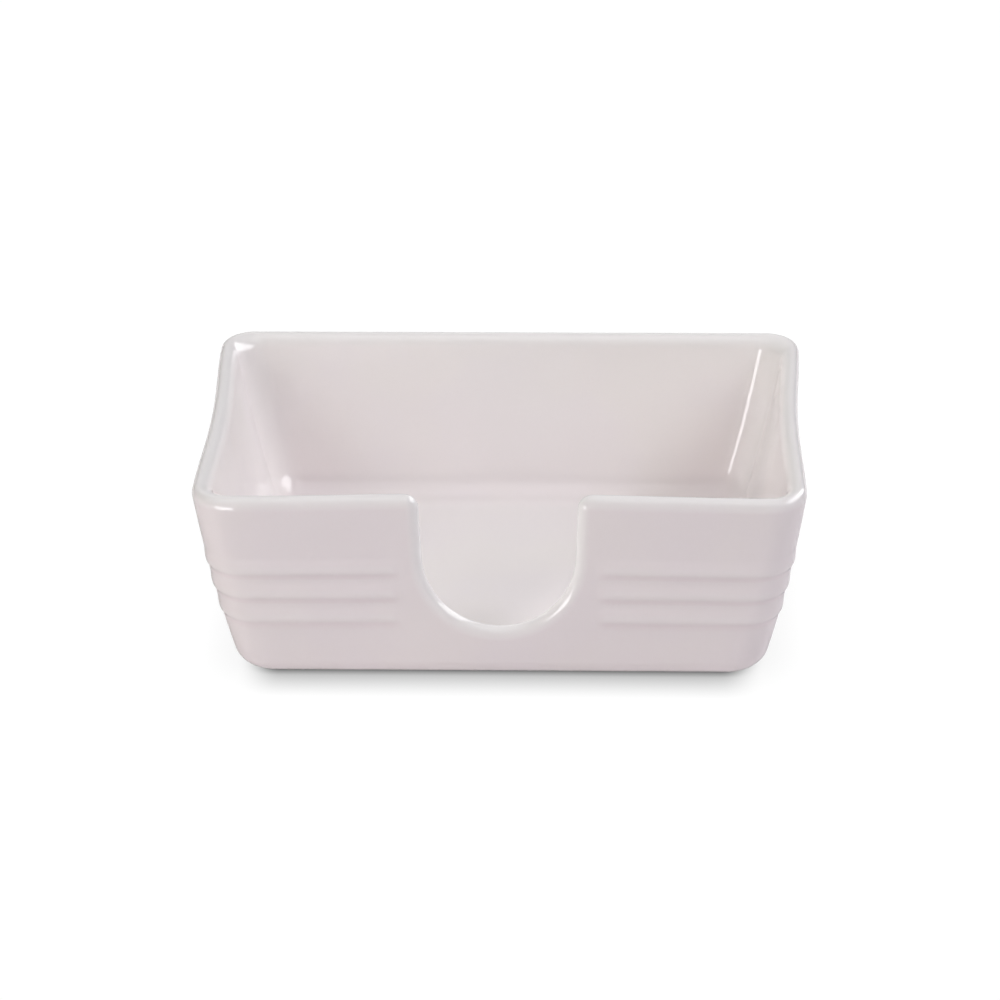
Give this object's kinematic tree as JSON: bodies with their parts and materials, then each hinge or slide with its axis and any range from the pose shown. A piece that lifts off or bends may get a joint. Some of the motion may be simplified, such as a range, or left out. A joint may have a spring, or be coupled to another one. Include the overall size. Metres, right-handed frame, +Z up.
{
  "type": "napkin holder",
  "caption": "Open rectangular stoneware tub for a stack of napkins, with flared ends, ribbed walls, a round lip and a finger notch in the front wall.",
  "frame": {"origin": "middle of the foot's outline, on the surface the holder stands on", "axes": "+X along the length towards the right end, +Y from the notched front wall to the back wall, +Z up"},
  "size_m": [0.22, 0.143, 0.0723],
  "materials": {
    "glaze": "gloss glaze, pale shell pink"
  },
  "bodies": {
    "root": {"stoneware_body": "glaze"}
  },
  "joints": []
}
